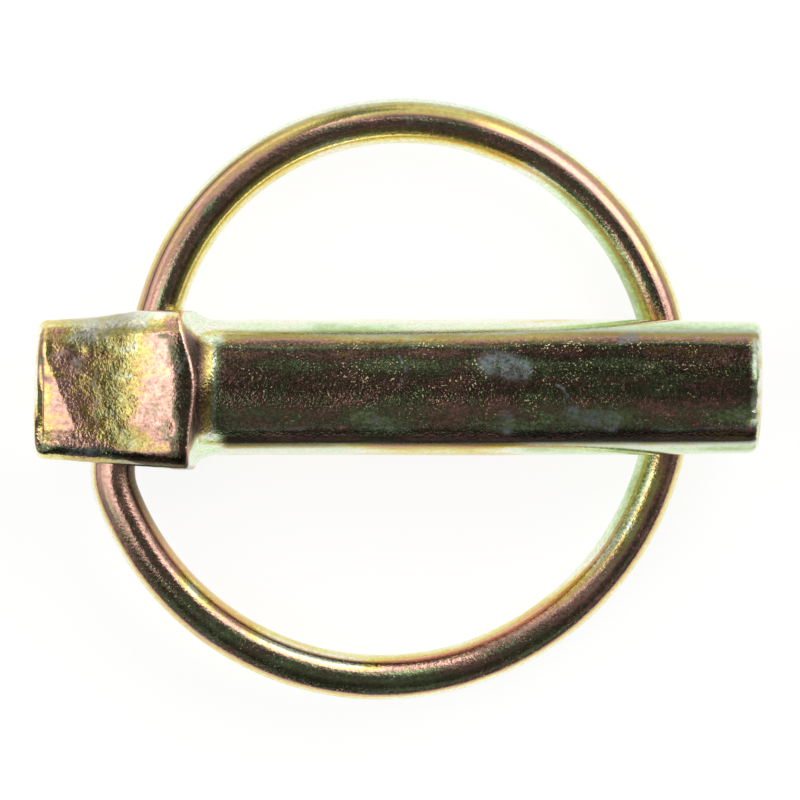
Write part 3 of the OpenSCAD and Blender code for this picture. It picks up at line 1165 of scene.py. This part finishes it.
@dataclass
class WireRing:
    """The spring-wire ring: two ends in the bore and a closed run of tangent arcs outside it.

    Sizes are in millimetres. The route lies in a plane, q out from the bore's line and s along it.

    Attributes:
        frame: The pin's frame.
        finish: Material of its plating.
        wire_d: Diameter of the wire.
        shank_len: Place of the shank's tip.
        tip_past_ring: How far the tip stands out past the closed ring.
        ring_gap: Gap between the closed ring and the shank.
        ring_drift: How far the ring's middle lies to the near side of the shank's axis.
        arm_ease: How much the upper arm's bend is tighter than half the ring's reach.
        arm_straight: Straight wire between the upper mouth and that bend.
        head_w: Width of the head that the mouths are worked out from.
        root_bend: Radius of the tight bend at the lower mouth.
        root_inset: Depth inside the lower mouth at which it starts.
        end_space: Space in the bore between the wire's two ends.
        step: Distance between points along the wire.
        sides: Points round it.
        film_bands: Film along five lines on the wire, each at an angle from its top towards the
            ring's outside, as pairs of the angle round the ring and the film.
        closed_turn: Turn of the closed ring below the bore's line, in radians.
        mid_s: Place of the ring's middle along the bore.
        reach: Distance of the ring's far point from the bore's line.
        arm_bend: Radius of the upper arm's bend.
        upper_s: Place along the bore where that bend starts.
        lower_s: Place where the tight bend starts.
    """

    frame: PinFrame
    finish: bpy.types.Material
    wire_d: float = 3.7
    shank_len: float = 44.9
    tip_past_ring: float = 5.6
    ring_gap: float = 0.1
    ring_drift: float = 0.6
    arm_ease: float = 1.65
    arm_straight: float = 1.2
    head_w: float = 13.0
    root_bend: float = 5.5
    root_inset: float = 1.4
    end_space: float = 2.4
    step: float = 0.25
    sides: int = 96
    film_bands: tuple[tuple[float, Curve], ...] = (
        (-75, ((-150, 0.32), (-96, 0.16), (-60, 0.06), (-40, 0.2), (-10, -0.2), (44, -0.3), (85, 0.03),
               (130, 0.1), (175, 0.08))),
        (-32, ((-150, 0.4), (-130, 0.4), (-121, -0.03), (-111, 0.4), (-98, -0.05), (-85, 0.0), (-74, 0.4),
               (-40, 0.36), (-28, 0.2), (-14, -0.22), (4, -0.3), (44, -0.32), (70, -0.22), (86, 0.2),
               (130, 0.14), (175, 0.22))),
        (0, ((-150, 0.42), (-110, 0.62), (-76, 0.62), (-50, 0.5), (-30, 0.4), (-12, 0.12), (4, 0.3),
             (44, 0.6), (85, 0.55), (125, 0.55), (145, 0.45), (175, 0.6))),
        (32, ((-150, 0.5), (-110, 0.6), (-60, 0.6), (-20, 0.46), (22, 0.4), (37, 0.36), (52, 0.3),
              (66, 0.38), (80, 0.38), (95, 0.16), (127, 0.17), (148, 0.27), (175, 0.35))),
        (75, ((-150, -0.05), (-110, 0.16), (-70, -0.04), (-16, 0.1), (30, 0.06), (60, 0.08), (80, -0.1),
              (150, -0.04), (175, 0.26))),
    )
    closed_turn: float = field(init=False)
    mid_s: float = field(init=False)
    reach: float = field(init=False)
    arm_bend: float = field(init=False)
    upper_s: float = field(init=False)
    lower_s: float = field(init=False)

    def __post_init__(self) -> None:
        """Works out the closed ring's turn, reach and arcs."""
        skew, bore_x, wire_r = self.frame.bore_skew, self.frame.bore_x, self.wire_d / 2
        cross_run = self.shank_len - self.tip_past_ring - wire_r - bore_x
        drop = self.frame.shank_r + wire_r + self.ring_gap
        self.closed_turn = math.atan(drop / (cross_run * math.cos(skew)))
        cross_q = cross_run * math.cos(skew) / math.cos(self.closed_turn)
        self.mid_s = cross_q / 2 * math.tan(skew) - self.ring_drift
        self.reach = cross_q + (cross_run * math.sin(skew) - self.mid_s) ** 2 / cross_q
        self.arm_bend = self.reach / 2 - self.arm_ease
        mouth = self.head_w / 2 / math.cos(skew)
        self.upper_s = mouth + self.arm_straight
        self.lower_s = self.root_inset - mouth

    def far_radius(self, side: float, bend: float) -> float:
        """Radius of the arc through the far point that runs into a bend at the bore."""
        return self.reach / 2 + side * side / (2 * (self.reach - 2 * bend))

    def arc(self, mid: Array, r: float, start: float, end: float) -> list[Array]:
        """Points of an arc, without its first.

        Args:
            mid: Its centre.
            r: Its radius.
            start: Angle that it starts at, in radians.
            end: Angle that it ends at.

        Returns:
            Points a step or less apart.
        """
        steps = max(2, math.ceil(abs(start - end) * r / self.step))
        angles = start + (end - start) * np.arange(1, steps + 1) / steps
        return [mid + r * np.array([math.cos(a), math.sin(a)]) for a in angles]

    def route(self) -> Array:
        """The wire's centre line from end to end.

        Returns:
            Its points, as (q, s).
        """
        upper_r = self.far_radius(self.upper_s - self.mid_s, self.arm_bend)
        lower_r = self.far_radius(self.mid_s - self.lower_s, self.root_bend)
        arm_mid = np.array([self.arm_bend, self.upper_s])
        root_mid = np.array([self.root_bend, self.lower_s])
        upper_mid = np.array([self.reach - upper_r, self.mid_s])
        lower_mid = np.array([self.reach - lower_r, self.mid_s])
        upper_join = math.atan2(*(arm_mid - upper_mid)[::-1])
        lower_join = math.atan2(*(root_mid - lower_mid)[::-1])
        points = [np.array([0.0, s]) for s in np.arange(self.end_space / 2, self.upper_s, self.step)]
        points.append(np.array([0.0, self.upper_s]))
        points += self.arc(arm_mid, self.arm_bend, math.pi, upper_join)
        points += self.arc(upper_mid, upper_r, upper_join, 0.0)
        points += self.arc(lower_mid, lower_r, 0.0, lower_join)
        points += self.arc(root_mid, self.root_bend, lower_join, -math.pi)
        points += [np.array([0.0, s]) for s in np.arange(self.lower_s, -self.end_space / 2, self.step)[1:]]
        points.append(np.array([0.0, -self.end_space / 2]))
        return np.array(points)

    def ring_matrix(self) -> Matrix:
        """Frame of the ring's plane in the row frame."""
        return self.frame.bore_matrix() @ Matrix.Rotation(self.closed_turn, 4, "Y")

    def sweep_tree(self) -> bpy.types.GeometryNodeTree:
        """Builds the sweep: the route's edges to a curve, and round wire along it.

        Returns:
            The tree, with inputs for the wire's radius, step, sides and finish.
        """
        tree = bpy.data.node_groups.new("wire_sweep", "GeometryNodeTree")
        face = tree.interface
        face.new_socket("Geometry", in_out="OUTPUT", socket_type="NodeSocketGeometry")
        kinds = {
            "Geometry": "Geometry", "Wire Radius": "Float", "Step": "Float", "Sides": "Int",
            "Finish": "Material",
        }
        for name, kind in kinds.items():
            face.new_socket(name, in_out="INPUT", socket_type=f"NodeSocket{kind}")
        bench = Bench(tree)
        given = bench.node("NodeGroupInput").outputs
        curve = bench.node("GeometryNodeMeshToCurve", {0: given["Geometry"]}).outputs[0]
        evenly = {"Curve": curve, "Length": given["Step"]}
        curve = bench.node("GeometryNodeResampleCurve", evenly, mode="LENGTH").outputs[0]
        circle = {"Resolution": given["Sides"], "Radius": given["Wire Radius"]}
        profile = bench.node("GeometryNodeCurvePrimitiveCircle", circle).outputs["Curve"]
        along = {"Curve": curve, "Profile Curve": profile, "Fill Caps": True}
        swept = bench.node("GeometryNodeCurveToMesh", along).outputs[0]
        smooth = bench.node("GeometryNodeSetShadeSmooth", {"Geometry": swept}).outputs[0]
        solid = bench.node("GeometryNodeRealizeInstances", {0: smooth}).outputs[0]
        plated = {"Geometry": solid, "Material": given["Finish"]}
        dressed = bench.node("GeometryNodeSetMaterial", plated).outputs[0]
        bench.node("NodeGroupOutput", {0: dressed})
        return tree

    def build(self) -> bpy.types.Object:
        """Makes the ring.

        Returns:
            The finished piece.
        """
        turn = self.ring_matrix()
        points = [turn @ (Vector((q, s, 0.0)) * MM) for q, s in self.route()]
        mesh = bpy.data.meshes.new("ring_route")
        mesh.from_pydata(points, [(k, k + 1) for k in range(len(points) - 1)], [])
        ring = placed("wire_ring", mesh)
        tree = self.sweep_tree()
        sweep = ring.modifiers.new("sweep", "NODES")
        sweep.node_group = tree
        sizes = {
            "Wire Radius": self.wire_d / 2 * MM, "Step": self.step * MM, "Sides": self.sides,
            "Finish": self.finish,
        }
        for item in tree.interface.items_tree:
            if item.in_out == "INPUT" and item.name in sizes:
                sweep[item.identifier] = sizes[item.name]
        settle(ring)
        bpy.data.node_groups.remove(tree)
        self.dress(ring)
        return ring

    def film(self, round_: Array, tilt: Array) -> Array:
        """Film over the wire, eased from each line of film_bands to the next.

        Args:
            round_: Angles round the ring, in degrees.
            tilt: Angles from the wire's top towards the ring's outside.

        Returns:
            Places in the run of film colours.
        """
        tilts = [place for place, _ in self.film_bands]
        lines = [np.interp(round_, *zip(*line)) for _, line in self.film_bands]
        film = lines[0]
        for low, high, line in zip(tilts, tilts[1:], lines[1:]):
            film = mix(film, line, ease(low + 8, high - 8, tilt))
        return film

    def dress(self, ring: bpy.types.Object) -> None:
        """Paints the film onto the wire: bands along it that change colour as they go round, with painted
        shade and painted highlights across the wire.

        Args:
            ring: The swept ring.
        """
        points, out = skin_points(ring.data, self.ring_matrix(), self.frame.matrix)
        hub = points[:, :2] - np.array([self.reach / 2, self.mid_s])
        round_ = np.degrees(np.arctan2(hub[:, 1], hub[:, 0]))
        azimuth = np.radians(round_) - self.frame.bore_skew
        side = out[:, 0] * np.cos(azimuth) + out[:, 1] * np.sin(azimuth)
        tilt = np.degrees(np.arctan2(side, out[:, 2]))
        waver = LatticeNoise(31).fractal(points, 3.0, 3)

        lower = ease(12, -2, round_)
        upper = 1 - lower
        inner = ease(-8, -16, tilt)
        # Painted shade: the lower ring's outer flank, and a slight darkening of the band over the wire's
        # top.
        shut = lower * band(11, 17, 49, 54, tilt) * ease(-150, -130, round_)
        core = band(-36, -28, 8, 14, tilt)
        tone = (1.0 - 0.45 * shut) * mix(1.0, 0.95, core)
        # Painted shade, and painted highlights where the change is above 0, on stretches of the wire by
        # angle round the ring and round the wire.
        shades = (
            (-0.35, upper, (33, 40, 54, 62)),
            (-0.35, upper, (-27, -23, -18, -12)),
            (-0.55, ease(120, 150, round_), (-43, -37, -22, -16)),
            (-0.6, upper * ease(130, 100, round_), (5, 9, 14, 19)),
            (-0.68, lower * ease(-68, -85, round_), (-46, -41, -31, -24)),
            (-0.85, ease(-125, -147, round_), (-181, -180, -40, -33)),
            (0.6, lower * ease(-48, -20, round_), (-16, -9, 18, 28)),
            (-0.4, lower * ease(-32, -18, round_), (-32, -28, -15, -11)),
            (-0.65, band(88, 98, 112, 128, round_), (5, 9, 30, 38)),
        )
        for change, stretch, edges in shades:
            tone *= 1.0 + change * stretch * band(*edges, tilt)
        # A painted dark line along the wire's outer flank: painted shade.
        outer_line = np.exp(-(((tilt - 45) / 2.8) ** 2)) * np.maximum(ease(130, 150, round_), lower)
        dark = np.maximum(core, shut)
        Look(
            film=mix(self.film(round_ + 3 * waver, tilt), 0.44, 0.8 * outer_line),
            drift=mix(0.3, 0.6, dark),
            tone=tone * (1.0 - 0.75 * outer_line),
            dull=0.35 * dark * ease(0.45, 0.9, waver),
            speck=0.6 * dark + 0.3 * inner * lower,
            grain=mix(0.35, 0.9, dark),
        ).paint(ring.data)


@dataclass(frozen=True)
class SoftBox:
    """A soft box turned to the row frame's origin, at the head's shoulder, in metres and degrees.

    Attributes:
        name: Name of the light.
        bearing: Direction of its middle round the vertical, from +X towards +Y.
        zenith: Angle of its middle from overhead.
        size: Length up and down and length across.
        radiance: Brightness of its face.
        distance: Distance of its middle.
        colour: Colour of its light.
    """

    name: str
    bearing: float
    zenith: float
    size: tuple[float, float]
    radiance: float
    distance: float = 0.6
    colour: tuple[float, float, float] = (1.0, 0.99, 0.97)

    def build(self) -> None:
        """Hangs the light."""
        lamp = bpy.data.lights.new(self.name, "AREA")
        lamp.shape = "RECTANGLE"
        lamp.size, lamp.size_y = self.size
        lamp.energy = self.radiance * math.pi * self.size[0] * self.size[1]
        lamp.color = self.colour
        light = placed(self.name, lamp)
        turn = Matrix.Rotation(math.radians(self.bearing), 4, "Z")
        lean = Matrix.Rotation(math.radians(self.zenith), 4, "Y")
        light.matrix_world = turn @ lean @ Matrix.Translation((0.0, 0.0, self.distance))
        light.visible_camera = False


@dataclass
class Studio:
    """Pale floor, three soft boxes, pale walls and the camera over the pin's top. Sizes are in metres.

    Attributes:
        frame: The pin's frame.
        floor_z: Height of the floor.
        floor_half: Half of its side.
        camera_height: Distance of the camera from the shank's axis.
        view_width: Width that the camera sees at that distance.
        aim: Place in the pin's frame that it is over.
        boxes: The soft boxes.
        room_glow: Brightness of the room overhead.
        far_wall: Brightness of the wall on the far side.
        low_wall: Brightness of the wall near the floor.
        skyline: Brightness of the strip where the far wall meets the floor.
        glow_colour: Colour of the room's light.
        backdrop: Colour that the camera sees past the floor.
    """

    frame: PinFrame
    floor_z: float
    floor_half: float = 3.0
    camera_height: float = 1.6
    view_width: float = 0.0656
    aim: tuple[float, float] = (0.015334, -0.00104)
    boxes: tuple[SoftBox, ...] = (
        SoftBox("head_box", 192.0, 38.5, (0.56, 0.50), 1.45),
        SoftBox("far_box", 46.0, 47.0, (0.40, 0.62), 1.4),
        SoftBox("tip_box", 8.0, 60.0, (0.20, 0.20), 1.0),
    )
    room_glow: float = 0.12
    far_wall: float = 0.5
    low_wall: float = 0.9
    skyline: float = 0.45
    glow_colour: tuple[float, float, float, float] = (1.0, 0.98, 0.94, 1.0)
    backdrop: tuple[float, float, float, float] = (0.96, 0.96, 0.96, 1.0)

    def floor(self) -> None:
        """Lays the floor."""
        half = self.floor_half
        corners = [(-half, -half), (half, -half), (half, half), (-half, half)]
        mesh = bpy.data.meshes.new("floor")
        mesh.from_pydata([(x, y, self.floor_z) for x, y in corners], [], [(0, 1, 2, 3)])
        mesh.materials.append(StudioFloor().build())
        floor = placed("floor", mesh)
        floor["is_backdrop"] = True

    def room(self) -> None:
        """Sets the room: dim overhead and in line across the pin, with pale walls beside that line."""
        world = bpy.data.worlds.new("room")
        world.use_nodes = True
        tree = world.node_tree
        tree.nodes.clear()
        bench = Bench(tree)
        seen = bench.node("ShaderNodeLightPath").outputs["Is Camera Ray"]
        way = bench.node("ShaderNodeTexCoord").outputs["Generated"]
        x, y, z = bench.node("ShaderNodeSeparateXYZ", {0: way}).outputs
        lit = bench.map_range(y, 0.3, 1.0, self.room_glow, 2.2 * self.room_glow)
        lit = bench.times(lit, bench.map_range(y, -0.95, -0.6, 0.35, 1.0))
        aside = bench.map_range(bench.math("ABSOLUTE", x), 0.05, 0.18, 0.0, 1.0)
        far = bench.map_range(y, 0.12, 0.3, 0.0, self.far_wall)
        low = bench.map_range(z, 0.52, 0.4, 0.0, self.low_wall)
        away = bench.math("SUBTRACT", y, bench.times(x, 0.35))
        low = bench.times(low, bench.map_range(away, -0.45, 0.3, 0.25, 1.0))
        wall = bench.times(aside, bench.math("MAXIMUM", far, low))
        skyline = bench.map_range(y, 0.975, 0.99, 0.0, self.skyline)
        lit = bench.math("ADD", lit, bench.math("MAXIMUM", wall, skyline))
        dim = bench.node("ShaderNodeBackground", {"Color": self.glow_colour, "Strength": lit})
        pale = bench.node("ShaderNodeBackground", {"Color": self.backdrop, "Strength": 1.0})
        both = bench.node("ShaderNodeMixShader", {0: seen, 1: dim.outputs[0], 2: pale.outputs[0]})
        bench.node("ShaderNodeOutputWorld", {"Surface": both.outputs[0]})
        bpy.context.scene.world = world

    def camera(self) -> None:
        """Sets the camera over the pin, square to the head's top."""
        lens = bpy.data.cameras.new("view")
        lens.sensor_width = 36.0
        lens.lens = lens.sensor_width * self.camera_height / self.view_width
        lens.clip_start, lens.clip_end = 0.05, 20.0
        view = placed("view", lens)
        view.matrix_world = self.frame.matrix @ Matrix.Translation((*self.aim, self.camera_height))
        bpy.context.scene.camera = view

    def build(self) -> None:
        """Sets the whole studio up."""
        self.floor()
        for box in self.boxes:
            box.build()
        self.room()
        self.camera()
        bpy.context.scene.view_settings.view_transform = "Standard"


def plain(box: tuple) -> list[list[float]]:
    """A pair of corners as plain lists of numbers."""
    return [[float(v) for v in corner] for corner in box]


def main() -> None:
    """Builds the lynch pin and its studio."""
    logging.basicConfig(level=logging.INFO, format="%(name)s: %(message)s")
    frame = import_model()
    cad_box = plain(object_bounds())
    pin_frame = PinFrame.from_record(frame["record"])
    Studio(pin_frame, floor_z=cad_box[0][2]).build()

    pin = Forging(pin_frame, ChromateFilm("pin_plating").build()).build()
    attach(pin, "pin")
    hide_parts("pin")
    LOG.info("forged_pin: %d faces", len(pin.data.polygons))

    ring = WireRing(pin_frame, ChromateFilm("ring_plating").build()).build()
    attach(ring, "ring")
    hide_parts("ring")
    LOG.info("wire_ring: %d faces", len(ring.data.polygons))


if __name__ == "__main__":
    main()
